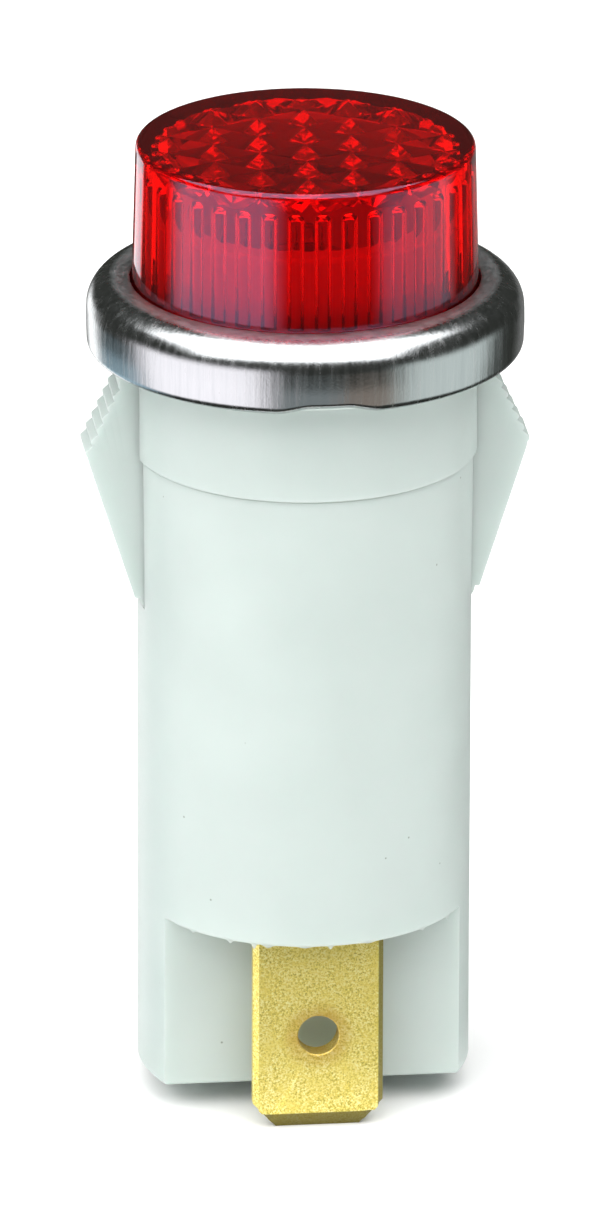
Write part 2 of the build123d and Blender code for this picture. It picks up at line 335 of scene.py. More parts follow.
@dataclass
class Bench:
    """A node tree under way, with the steps that its recipes share.

    Attributes:
        tree: The material's or the world's node tree.
        goal: The shader that the recipe ends in.
        place: The socket of coordinates that patterns are laid out on.
    """

    tree: Tree
    goal: bpy.types.Node
    place: Socket

    def noise(self, period: float, detail: float = 2.0, rough: float = 0.5,
              place: Optional[Socket] = None) -> Socket:
        """Soft noise between 0 and 1.

        Args:
            period: The size of its largest patches, in millimetres.
            detail: How many finer layers it has.
            rough: How strong each finer layer is.
            place: Other coordinates to lay it out on.

        Returns:
            The socket.
        """
        return add_node(self.tree, "ShaderNodeTexNoise", None,
                        {"Vector": self.place if place is None else place,
                         "Scale": per_mm(period), "Detail": detail,
                         "Roughness": rough}).outputs["Fac"]

    def mapped(self, **change: tuple[float, float, float]) -> Socket:
        """The coordinates after a Scale or a Rotation."""
        return add_node(self.tree, "ShaderNodeMapping", None,
                        {"Vector": self.place, **change}).outputs[0]

    def axes(self) -> Any:
        """The coordinates' X, Y and Z sockets."""
        return add_node(self.tree, "ShaderNodeSeparateXYZ", None, {0: self.place}).outputs

    def sum(self, operation: str, *values: Any) -> Socket:
        """One arithmetic step on sockets or numbers."""
        return add_node(self.tree, "ShaderNodeMath", {"operation": operation},
                        dict(enumerate(values))).outputs[0]

    def vector(self, operation: str, *values: Any, **named: Any) -> bpy.types.Node:
        """One step on vectors, as its node."""
        return add_node(self.tree, "ShaderNodeVectorMath", {"operation": operation},
                        {**dict(enumerate(values)), **named})

    def remap(self, value: Socket, low: float, high: float, start: float = 0.0,
              end: float = 1.0, smooth: bool = False) -> Socket:
        """Carries a value over to another span, held at both ends.

        Args:
            value: The socket.
            low: What the span's start becomes.
            high: What the span's end becomes.
            start: Where the value's span starts.
            end: Where the value's span ends.
            smooth: Whether it eases in and out.

        Returns:
            The new socket.
        """
        easing = "SMOOTHSTEP" if smooth else "LINEAR"
        return add_node(self.tree, "ShaderNodeMapRange", {"interpolation_type": easing},
                        {"Value": value, "From Min": start, "From Max": end,
                         "To Min": low, "To Max": high}).outputs["Result"]

    def tone(self, share: Any, under: Any, over: Any) -> Socket:
        """The colour at this share of the way between two, each a hex colour or a socket."""
        under, over = [linear(end) if isinstance(end, str) else end for end in (under, over)]
        return add_node(self.tree, "ShaderNodeMix", {"data_type": "RGBA"},
                        {0: share, 6: under, 7: over}).outputs[2]

    def relief(self, height: Socket, strength: float, depth: float) -> None:
        """Bumps the skin by the height, which stands for so many millimetres."""
        bump = add_node(self.tree, "ShaderNodeBump", None,
                        {"Height": height, "Strength": strength, "Distance": depth * MM})
        self.wire({"Normal": bump.outputs["Normal"]})

    def wire(self, inputs: dict[str, Any]) -> None:
        """Sets the sockets of the shader that the recipe ends in."""
        plug(self.tree, self.goal, inputs)


@dataclass(frozen=True)
class Finish:
    """What every finish has: a name, and a recipe for its material."""

    name: str

    def recipe(self, bench: Bench) -> None:
        """Wires the material's shader."""
        raise NotImplementedError

    def make(self) -> bpy.types.Material:
        """Builds the material, its patterns laid out on object coordinates."""
        material = bpy.data.materials.new(self.name)
        material.use_nodes = True
        tree = material.node_tree
        place = add_node(tree, "ShaderNodeTexCoord").outputs["Object"]
        self.recipe(Bench(tree, tree.nodes["Principled BSDF"], place))
        return material

    def dress(self, *pieces: Piece) -> None:
        """Gives the pieces this finish, in place of what they had."""
        material = bpy.data.materials.get(self.name) or self.make()
        for piece in pieces:
            if not piece.material_slots:
                piece.data.materials.append(material)
            for slot in piece.material_slots:
                slot.material = material


@dataclass(frozen=True)
class MouldedNylon(Finish):
    """Natural nylon, injection moulded from unpigmented pellets.

    Light goes about a millimetre into it, so it looks milky and its shaded sides stay luminous.
    The skin has a faint ripple from the mould and a few dark specks of burnt resin. Just under
    the collar step, a hairline of painted shade lies at one height and stands in for the step's
    shadow.
    """

    name: str = "moulded_natural_nylon"
    # Painted shade under the collar step: its strength, its height, its core and fading edge in
    # mm, and its colour.
    step_shade_strength: float = 0.0
    step_shade_height: float = -3.86
    step_shade_core: float = 0.015
    step_shade_edge: float = 0.045
    step_shade: str = "#59634F"
    pale: str = "#C5D0CC"
    cool: str = "#B9C4C0"
    speck: str = "#6E7A6C"
    speck_spacing: float = 1.6
    speck_core: float = 0.018
    speck_edge: float = 0.032
    speck_strength: float = 0.75
    depth: float = 1.0

    def recipe(self, bench: Bench) -> None:
        """Wires the milky plastic, with specks of about 0.06 mm."""
        colour = bench.tone(bench.noise(period=4.0, detail=3.0), self.cool, self.pale)
        dots = add_node(bench.tree, "ShaderNodeTexVoronoi", None,
                        {"Vector": bench.place, "Scale": per_mm(self.speck_spacing),
                         "Randomness": 1.0})
        speck = bench.remap(dots.outputs["Distance"], self.speck_strength, 0.0,
                            self.speck_core, self.speck_edge)
        colour = bench.tone(speck, colour, self.speck)
        # Painted shade: a dark hairline at one height under the collar step, standing in for the
        # step's shadow.
        off = bench.sum("SUBTRACT", bench.axes()[2], self.step_shade_height * MM)
        line = bench.remap(bench.sum("ABSOLUTE", off), self.step_shade_strength, 0.0,
                           self.step_shade_core * MM, self.step_shade_edge * MM)
        skin = bench.noise(period=0.12)
        ripple = bench.noise(period=0.9)
        bench.relief(bench.sum("MULTIPLY_ADD", skin, 0.08, ripple), strength=0.25, depth=0.012)
        bench.wire({"Base Color": bench.tone(line, colour, self.step_shade),
                    "Roughness": bench.remap(skin, 0.34, 0.5), "IOR": 1.53,
                    "Subsurface Weight": 0.45, "Subsurface Radius": (0.9, 1.15, 1.05),
                    "Subsurface Scale": self.depth * MM})


@dataclass(frozen=True)
class DrawnSteel(Finish):
    """Stainless steel sheet, drawn and rolled to a ring, then tumbled.

    Drawing leaves fine upright streaks on the band. Across the flat lip the same texture reads
    as grain, and there the skin was tumbled duller.
    """

    name: str = "drawn_stainless_steel"
    bright: str = "#CDCFD0"
    dull: str = "#9FA3A5"
    lip_top: float = 2.66
    lip_fade: float = 0.06
    lip_dullness: float = 0.55

    def recipe(self, bench: Bench) -> None:
        """Wires the streaked metal."""
        upright = bench.mapped(Scale=(1.0, 1.0, 0.05))
        streak = bench.noise(period=0.22, detail=4.0, rough=0.6, place=upright)
        grain = bench.noise(period=0.1, detail=3.0, rough=0.65)
        gloss = bench.remap(streak, 0.16, 0.3, start=0.3, end=0.7)
        lip = bench.remap(bench.axes()[2], 0.0, self.lip_dullness,
                          (self.lip_top - self.lip_fade) * MM, self.lip_top * MM)
        bench.relief(bench.sum("MULTIPLY_ADD", grain, 0.5, streak), strength=0.5, depth=0.012)
        bench.wire({"Base Color": bench.tone(streak, self.dull, self.bright),
                    "Roughness": bench.sum("MULTIPLY_ADD", lip, grain, gloss),
                    "Metallic": 1.0})


@dataclass(frozen=True)
class RedAcrylic(Finish):
    """Transparent red acrylic, moulded with polished outer faces.

    The dye passes only red, so a thicker path looks darker and deeper. The outer skin is glossy
    with slight waves and a faint haze.
    """

    name: str = "moulded_red_acrylic"
    dye: tuple[float, float, float] = (0.97, 0.3, 0.2)
    strength: float = 1.0
    body: str = "#FF1A12"

    def recipe(self, bench: Bench) -> None:
        """Wires the dyed, clear plastic."""
        bench.relief(bench.noise(period=1.4), strength=0.08, depth=0.02)
        haze = bench.noise(period=0.5, detail=3.0)
        bench.wire({"Base Color": linear(self.body), "Roughness": bench.remap(haze, 0.0, 0.02),
                    "Transmission Weight": 0.96, "Specular Tint": (1.0, 0.95, 1.6, 1.0),
                    "IOR": 1.49})
        dyed = add_node(bench.tree, "ShaderNodeVolumeAbsorption", None,
                        {"Color": (*self.dye, 1.0), "Density": self.strength / MM})
        output = bench.tree.nodes["Material Output"]
        plug(bench.tree, output, {"Volume": dyed.outputs[0]})


@dataclass(frozen=True)
class RolledBrass(Finish):
    """Half-hard brass strip, rolled, blanked and a little tarnished.

    The rolled skin is full of fine bright and dark grains, with faint lines along the rolling
    direction, and warmer tarnish where the hole's punch dragged the surface. The tip's bevel
    and the long edge on the +X side are darkened with painted shade.
    """

    name: str = "rolled_brass"
    light: str = "#FFFABC"
    mid: str = "#EAD668"
    deep: str = "#A89838"
    # Painted shade colour for the tip's bevel and the long edge on the +X side.
    painted_shade: str = "#544C14"
    tarnish: str = "#B07A18"
    edge: float = 2.17
    bevel_top: float = -27.88
    hole_height: float = -24.88
    tarnish_start: float = 0.75
    tarnish_end: float = 1.5
    tarnish_strength: float = 0.85
    bevel_shade: float = 0.85
    edge_shade: float = 0.8
    bevel_fade: float = 0.05
    edge_fade: float = 0.04

    def recipe(self, bench: Bench) -> None:
        """Wires the grained metal, with a thin oxide film that scatters where grain is deep."""
        grain = bench.noise(period=0.065, detail=3.0, rough=0.6)
        ramp = add_node(bench.tree, "ShaderNodeValToRGB", None, {"Fac": grain})
        stops = ramp.color_ramp.elements
        stops[0].position, stops[0].color = 0.33, linear(self.deep)
        stops[1].position, stops[1].color = 0.66, linear(self.light)
        stops.new(0.48).color = linear(self.mid)
        patch = bench.noise(period=0.8, detail=3.0)
        patchy = bench.remap(patch, 0.0, 0.6, start=0.45, end=0.75)
        colour = bench.tone(patchy, ramp.outputs["Color"], self.mid)
        # Tarnish: strongest at the hole's edge, gone 0.75 mm outside it, on either tab.
        flat = bench.vector("MULTIPLY", bench.place, (1.0, 0.0, 1.0)).outputs[0]
        away = bench.vector("DISTANCE", flat, (0.0, 0.0, self.hole_height * MM))
        near = bench.remap(away.outputs["Value"], self.tarnish_strength, 0.0,
                           self.tarnish_start * MM, self.tarnish_end * MM, smooth=True)
        colour = bench.tone(bench.sum("MULTIPLY", near, patch), colour, self.tarnish)
        # Painted shade: the colour darkens towards the painted shade colour below the bevel's top
        # and beyond the +X edge line.
        across, _, height = bench.axes()
        for value, start, fade, painted_darkness in (
                (height, self.bevel_top, -self.bevel_fade, self.bevel_shade),
                (across, self.edge, self.edge_fade, self.edge_shade)):
            share = bench.remap(value, 0.0, painted_darkness, start * MM, (start + fade) * MM)
            colour = bench.tone(share, colour, self.painted_shade)
        along = bench.mapped(Scale=(1.0, 1.0, 0.08))
        rolled = bench.noise(period=0.15, place=along)
        bench.relief(bench.sum("MULTIPLY_ADD", rolled, 0.3, grain), strength=0.8, depth=0.02)
        bench.wire({"Base Color": colour, "Roughness": bench.remap(grain, 0.32, 0.52),
                    "Metallic": bench.remap(grain, 0.5, 0.74, start=0.35, end=0.65)})


@dataclass(frozen=True)
class LampGlass(Finish):
    """Soft lamp glass, drawn as tube and sealed in a flame, with slight waves."""

    name: str = "drawn_lamp_glass"
    tinge: str = "#F4F8F6"
    clear: str = "#FFFFFF"

    def recipe(self, bench: Bench) -> None:
        """Wires the clear glass."""
        wave = bench.noise(period=2.0)
        bench.relief(wave, strength=0.3, depth=0.03)
        bench.wire({"Base Color": bench.tone(wave, self.tinge, self.clear),
                    "Roughness": 0.02, "Transmission Weight": 1.0, "IOR": 1.51})


@dataclass(frozen=True)
class DullMetal(Finish):
    """A soft metal with a clouded skin: nickel, tin or solder.

    Two close tones drift over each other, and the same drift varies the gloss.
    """

    light: str = "#D8D6D0"
    dark: str = "#8F8E88"
    drift: float = 0.6
    smooth: float = 0.22
    rough: float = 0.45
    depth: float = 0.02

    def recipe(self, bench: Bench) -> None:
        """Wires the clouded metal."""
        cloud = bench.noise(self.drift, detail=4.0)
        bench.relief(cloud, strength=0.5, depth=self.depth)
        bench.wire({"Base Color": bench.tone(cloud, self.dark, self.light),
                    "Roughness": bench.remap(cloud, self.smooth, self.rough), "Metallic": 1.0})


@dataclass(frozen=True)
class WovenSleeve(Finish):
    """Braided glass sleeving soaked in varnish: a fine criss-cross of strands."""

    name: str = "braided_glass_sleeve"
    crown: str = "#E8E4D2"
    gap: str = "#B3AC92"
    strand: float = 0.3
    lay: float = 0.8

    def recipe(self, bench: Bench) -> None:
        """Wires the braid: the higher of two sets of strands, laid opposite ways."""
        waves = []
        for tilt in (self.lay, -self.lay):
            turned = bench.mapped(Rotation=(tilt, tilt, 0.0))
            waves.append(add_node(bench.tree, "ShaderNodeTexWave", None,
                                  {"Vector": turned, "Scale": per_mm(self.strand) / TURN,
                                   "Distortion": 1.0}).outputs["Fac"])
        braid = bench.sum("MAXIMUM", *waves)
        bench.relief(braid, strength=0.6, depth=0.03)
        bench.wire({"Base Color": bench.tone(braid, self.gap, self.crown), "Roughness": 0.55})


@dataclass(frozen=True)
class ResistorLacquer(Finish):
    """Thick dipped lacquer over a resistor, with plain rings of colour round it."""

    name: str = "dipped_resistor_lacquer"
    coat: str = "#C9A977"
    pale_coat: str = "#D8BE92"
    rings: tuple[tuple[float, str], ...] = (
        (-2.2, "#7A2F1C"), (-1.3, "#2A2622"), (-0.4, "#C79A22"), (1.9, "#B98D2E"))
    ring_width: float = 0.45

    def recipe(self, bench: Bench) -> None:
        """Wires the banded lacquer."""
        along = bench.axes()[0]
        cloud = bench.noise(period=0.8, detail=3.0)
        colour = bench.tone(cloud, self.coat, self.pale_coat)
        for centre, shade in self.rings:
            here = bench.sum("COMPARE", along, centre * MM, self.ring_width / 2 * MM)
            colour = bench.tone(here, colour, shade)
        bench.relief(cloud, strength=0.4, depth=0.04)
        bench.wire({"Base Color": colour, "Roughness": 0.3})


@dataclass(frozen=True)
class MattPaper(Finish):
    """The studio's plain white paper, rough and even, with a faint tooth."""

    name: str = "white_studio_paper"
    shade: str = "#F6F6F6"
    white: str = "#FAFAFA"

    def recipe(self, bench: Bench) -> None:
        """Wires the paper."""
        tooth = bench.noise(period=3.0)
        bench.wire({"Base Color": bench.tone(tooth, self.shade, self.white),
                    "Roughness": 0.9, "Specular IOR Level": 0.1})


@dataclass(frozen=True)
class WhiteGlow(Finish):
    """The even white behind everything, which gives off its own light."""

    name: str = "studio_dome_white"

    def recipe(self, bench: Bench) -> None:
        """Wires a plain emitter to the output."""
        glow = add_node(bench.tree, "ShaderNodeEmission", None,
                        {"Color": linear("#FFFFFF"), "Strength": 1.0})
        output = bench.tree.nodes["Material Output"]
        plug(bench.tree, output, {"Surface": glow.outputs[0]})


# ---------------------------------------------------------------- sub-assemblies


@dataclass
class Lens:
    """The red cap lens: a smooth cup, fluted inside, with three-sided pyramids in its roof.

    Attributes:
        flute_columns: Steps across one flute and the wall beside it.
        core_rows: Where the flute's rows start, and how many there are up to its top.
        pyramid_reach: How many pyramids the lattice reaches out to each side.
    """

    top: float = 7.75
    top_radius: float = 6.1
    base_radius: float = 6.25
    edge_round: float = 0.25
    wall_foot: float = 2.3
    flange_radius: float = 7.45
    flange_foot: float = 1.5
    flange_side: float = 0.4
    flange_slope: float = 0.45
    flange_round: float = 0.05
    axis_gap: float = 1e-4
    bore: float = 5.25
    flutes: int = 36
    flute_radius: float = 0.28
    flute_foot: float = 2.47
    flute_top: float = 6.5
    flute_columns: int = 16
    core_foot: float = 0.5
    core_top: float = 8.2
    core_rows: tuple[float, int] = (3.2, 5)
    pyramid_side: float = 1.9
    pyramid_base: float = 7.22
    pyramid_tip: float = 6.52
    pyramid_turn: float = 25.0
    pyramid_reach: int = 6
    pyramid_foot: float = 0.8
    finish: Finish = field(default_factory=RedAcrylic)

    def outside(self) -> Piece:
        """The lens without its cavity, turned from its outer profile."""
        corners = [
            (self.axis_gap, self.top), (self.top_radius, self.top),
            (self.base_radius, self.wall_foot),
            (self.flange_radius - self.flange_slope, self.wall_foot),
            (self.flange_radius, self.flange_foot + self.flange_side),
            (self.flange_radius, self.flange_foot), (self.axis_gap, self.flange_foot),
        ]
        rounds = [0.0, self.edge_round, *[self.flange_round] * 4, 0.0]
        profile = rounded_outline(corners, rounds, 8)
        return solid_from_grid("red_lens_cap", turned_grid(profile, 288))

    def fluted_core(self) -> Piece:
        """The cavity's round part.

        Its radius at angle a and height z is the bore, or in a flute the far side of a circle
        of radius f on the bore: b cos(d) + sqrt(f^2 - b^2 sin(d)^2 - t^2), where d is the angle
        from the flute's middle and t the height above the flute's straight part.
        """
        pitch = TURN / self.flutes
        half = self.flute_radius / self.bore
        # Columns crowd into the flute's width, where the surface bends.
        inside = np.sin(np.linspace(-0.5, 0.5, self.flute_columns - 3) * math.pi) * half
        land = np.linspace(half, pitch - half, 5)[1:-1]
        offset = np.concatenate([inside, land])
        angle = (np.arange(self.flutes)[:, None] * pitch + offset[None, :]).ravel()
        dome = self.flute_top + self.flute_radius * np.sin(np.linspace(0, 1, 8) * math.pi / 2)
        step = 1e-3
        first, rows = self.core_rows
        height = np.concatenate([[self.core_foot, self.flute_foot, self.flute_foot + step],
                                 np.linspace(first, self.flute_top, rows), dome[1:],
                                 [self.core_top]])
        away = np.tile(np.clip(offset, -half, half), self.flutes)[None, :]
        lift = np.clip(height - self.flute_top, 0, None)[:, None]
        reach = self.flute_radius**2 - (self.bore * np.sin(away)) ** 2 - lift**2
        grooved = (height >= self.flute_foot + step / 2)[:, None]
        radius = np.where(grooved & (reach > 0),
                          self.bore * np.cos(away) + np.sqrt(np.clip(reach, 0, None)),
                          self.bore)
        tall = np.broadcast_to(height[:, None], radius.shape)
        grid = np.stack([radius * np.cos(angle), radius * np.sin(angle), tall], axis=-1)
        return solid_from_grid("core", grid, cap_ends=True)

    def pyramid_block(self) -> Piece:
        """The block whose top is a field of three-sided pits.

        Lattice points are i u + j v, with u and v at 60 degrees and one pyramid side long. Each
        triangle of three neighbours, at the base height, slopes to its middle at the tip.
        """
        turn = math.radians(self.pyramid_turn)
        u = self.pyramid_side * np.array([math.cos(turn), math.sin(turn)])
        v = self.pyramid_side * np.array([math.cos(turn + TURN / 6), math.sin(turn + TURN / 6)])
        span = np.arange(-self.pyramid_reach, self.pyramid_reach + 1)
        i, j = np.meshgrid(span, span, indexing="ij")
        flat = i[..., None] * u + j[..., None] * v
        lattice = np.concatenate([flat, np.full(i.shape + (1,), self.pyramid_base)], axis=-1)
        side = span.size
        index = np.arange(side * side).reshape(side, side)
        up = np.stack([index[:-1, :-1], index[1:, :-1], index[:-1, 1:]], -1).reshape(-1, 3)
        down = np.stack([index[1:, :-1], index[1:, 1:], index[:-1, 1:]], -1).reshape(-1, 3)
        cells = np.concatenate([up, down])
        points = lattice.reshape(-1, 3)
        tips = points[cells].mean(axis=1)
        tips[:, 2] = self.pyramid_tip
        tip = np.arange(len(cells))[:, None] + side * side
        facets = np.concatenate([np.stack([cells[:, a], cells[:, b], tip[:, 0]], -1)
                                 for a, b in ((0, 1), (1, 2), (2, 0))])
        # The skirt follows the lattice's rim straight down, and a flat face closes its foot.
        rim = np.concatenate([index[:-1, 0], index[-1, :-1], index[:0:-1, -1], index[0, :0:-1]])
        first_foot = len(points) + len(tips)
        feet = points[rim] * (1, 1, 0) + (0, 0, self.pyramid_foot)
        foot = np.arange(len(rim)) + first_foot
        skirt = np.stack([np.roll(rim, -1), rim, foot, np.roll(foot, -1)], -1)
        faces = facets.tolist() + skirt.tolist() + [foot.tolist()]
        block = add_piece("pyramids", np.concatenate([points, tips, feet]), faces)
        tidy_mesh(block)
        return block

    def make(self) -> None:
        """Builds the lens, dresses it and puts it in place of its CAD solid."""
        lens, core = self.outside(), self.fluted_core()
        combine(core, self.pyramid_block(), "INTERSECT")
        combine(lens, core, "DIFFERENCE")
        tidy_mesh(lens)
        self.finish.dress(lens)
        settle(lens, Body.SHELL, Slot.LENS, "lens_cap")


@dataclass
class Bezel:
    """The steel ring: a level lip, a broad shoulder, a band and a rolled-in lower edge."""

    radius: float = 7.9
    sheet: float = 0.3
    lip_radius: float = 6.3
    lip_height: float = 2.48
    lip_rise: float = 0.06
    shoulder_round: float = 0.95
    swell: float = 0.03
    swell_height: float = 0.95
    swell_round: float = 7.0
    roll_angle: float = 60.0
    roll_length: float = 0.25
    roll_round: float = 0.2
    notch_flat: float = 0.6
    notch_reach: float = 1.9
    notch_height: float = 0.22
    notch_blend: float = 1.0
    lip_edge_round: float = 0.08
    hidden_edge_round: float = 0.06
    columns: int = 480
    finish: Finish = field(default_factory=DrawnSteel)

    def profile(self) -> np.ndarray:
        """The sheet's closed section.

        The middle line's corners move half a sheet to each side along (m + n) / (1 + m.n), with
        m and n the normals of the two runs that meet there, and each corner is then rounded.
        """
        band, roll = self.radius - self.sheet / 2, math.radians(self.roll_angle)
        low = self.sheet / 2 * math.sin(roll)
        turn_in = low + self.roll_length * math.cos(roll)
        middle = np.array([
            (self.lip_radius, self.lip_height),
            (band - self.swell, self.lip_height + self.lip_rise),
            (band, self.swell_height), (band - self.swell, turn_in),
            (band - self.swell - self.roll_length * math.sin(roll), low)])
        run = np.diff(middle, axis=0)
        run /= np.linalg.norm(run, axis=1, keepdims=True)
        normal = np.stack([-run[:, 1], run[:, 0]], axis=-1)
        before = np.concatenate([normal[:1], normal])
        after = np.concatenate([normal, normal[-1:]])
        spread = (before + after) / (1 + (before * after).sum(1, keepdims=True))
        half = self.sheet / 2
        corners = np.concatenate([middle + half * spread, (middle - half * spread)[::-1]])
        outer = [self.lip_edge_round, self.shoulder_round + half, self.swell_round,
                 self.roll_round + half, self.hidden_edge_round]
        inner = [self.hidden_edge_round, self.roll_round - half, self.swell_round,
                 self.shoulder_round - half, self.hidden_edge_round]
        return rounded_outline(corners.tolist(), outer + inner, 14)

    def make(self) -> None:
        """Builds the ring and dresses it.

        The notches front and back lift the lower edge: each point rises by h (1 - s) (1 - t),
        where s runs smoothly from 0 at the notch's flat to 1 at its reach, and t from 0 at the
        lower edge to 1 at the notch's blend height.
        """
        grid = turned_grid(self.profile(), self.columns)
        across = np.abs(grid[..., 0])
        ramp = (across - self.notch_flat) / (self.notch_reach - self.notch_flat)
        rise = np.ones_like(across)
        for part in (ramp, grid[..., 2] / self.notch_blend):
            part = np.clip(part, 0, 1)
            rise *= 1 - part * part * (3 - 2 * part)
        grid[..., 2] += self.notch_height * rise
        ring = solid_from_grid("steel_bezel_ring", grid, close_rows=True)
        self.finish.dress(ring)
        settle(ring, Body.SHELL, Slot.STEEL, "bezel_ring")


@dataclass
class SnapWings:
    """The two toothed wings, which swing into the barrel about their round roots.

    Attributes:
        head: The top's corners: its inner one, its outer one and the foot of its cut.
        heel: Where the slope below the nose starts.
        slope_foot: How far out the slope ends, at the pivot's height.
    """

    thickness: float = 2.0
    pivot: tuple[float, float] = (5.6, -9.15)
    root_radius: float = 0.5
    head: tuple[tuple[float, float], ...] = ((6.0, -0.45), (6.66, -0.45), (6.76, -0.55))
    head_round: float = 0.04
    teeth: int = 7
    tooth_rise: float = 0.42
    tooth_run: float = 0.2
    tooth_edge: float = 0.13
    tooth_back: float = 0.06
    tooth_round: float = 0.03
    nose: tuple[float, float] = (8.05, -3.6)
    heel: tuple[float, float] = (7.94, -3.9)
    slope_foot: float = 6.27
    slope_rounds: tuple[float, float] = (0.1, 0.06)
    edge_round: float = 0.02
    finish: Finish = field(default_factory=MouldedNylon)

    def outline(self) -> np.ndarray:
        """The wing's side view, with softened teeth and the root's lower half as an arc."""
        pivot_x, pivot_z = self.pivot
        step = np.arange(self.teeth)[::-1]
        low_x = self.nose[0] - step * self.tooth_run
        low_z = self.nose[1] + step * self.tooth_rise
        low = np.stack([low_x, low_z], -1)
        tooth = np.stack([low + (0.0, self.tooth_edge), low, low - self.tooth_back],
                         axis=1).reshape(-1, 2)
        arc = np.linspace(0.0, math.pi, 13)
        root = np.stack([pivot_x + self.root_radius * np.cos(arc),
                         pivot_z - self.root_radius * np.sin(arc)], -1)
        corners = np.concatenate([self.head, tooth, [self.heel, (self.slope_foot, pivot_z)],
                                  root])
        rounds = np.concatenate([[self.head_round] * len(self.head),
                                 [self.tooth_round] * len(tooth), self.slope_rounds,
                                 np.zeros(len(root))])
        return rounded_outline(corners.tolist(), rounds.tolist(), 3)

    def wing(self, name: str, side: int) -> Piece:
        """One wing: its outline carried across its thickness, drawn in a little at both faces.

        Args:
            name: The piece's name.
            side: 1 for the right wing, -1 for the left one.

        Returns:
            The wing.
        """
        line = self.outline()
        line = line[np.linalg.norm(line - np.roll(line, 1, axis=0), axis=1) > 1e-4]
        tangent = np.roll(line, -1, axis=0) - np.roll(line, 1, axis=0)
        tangent /= np.linalg.norm(tangent, axis=1, keepdims=True)
        inward = np.stack([tangent[:, 1], -tangent[:, 0]], -1)
        turn = np.linspace(0, math.pi / 2, 5)
        drawn = self.edge_round * (1 - np.sin(turn))
        place = self.thickness / 2 - self.edge_round * (1 - np.cos(turn))
        inset = np.concatenate([drawn, drawn[::-1]])
        y = np.concatenate([place, -place[::-1]])
        flat = line[None] + inward[None] * inset[:, None, None]
        depth = np.broadcast_to(y[:, None], flat.shape[:2])
        grid = np.stack([side * flat[..., 0], depth, flat[..., 1]], axis=-1)
        return solid_from_grid(name, grid, cap_ends=True)

    def make(self) -> None:
        """Builds both wings and hangs each on its own body."""
        for side, body, node in ((-1, Body.LEFT_WING, "left_snap_wing"),
                                 (1, Body.RIGHT_WING, "right_snap_wing")):
            wing = self.wing(f"toothed_{node}", side)
            self.finish.dress(wing)
            settle(wing, body, Slot.NYLON, node)


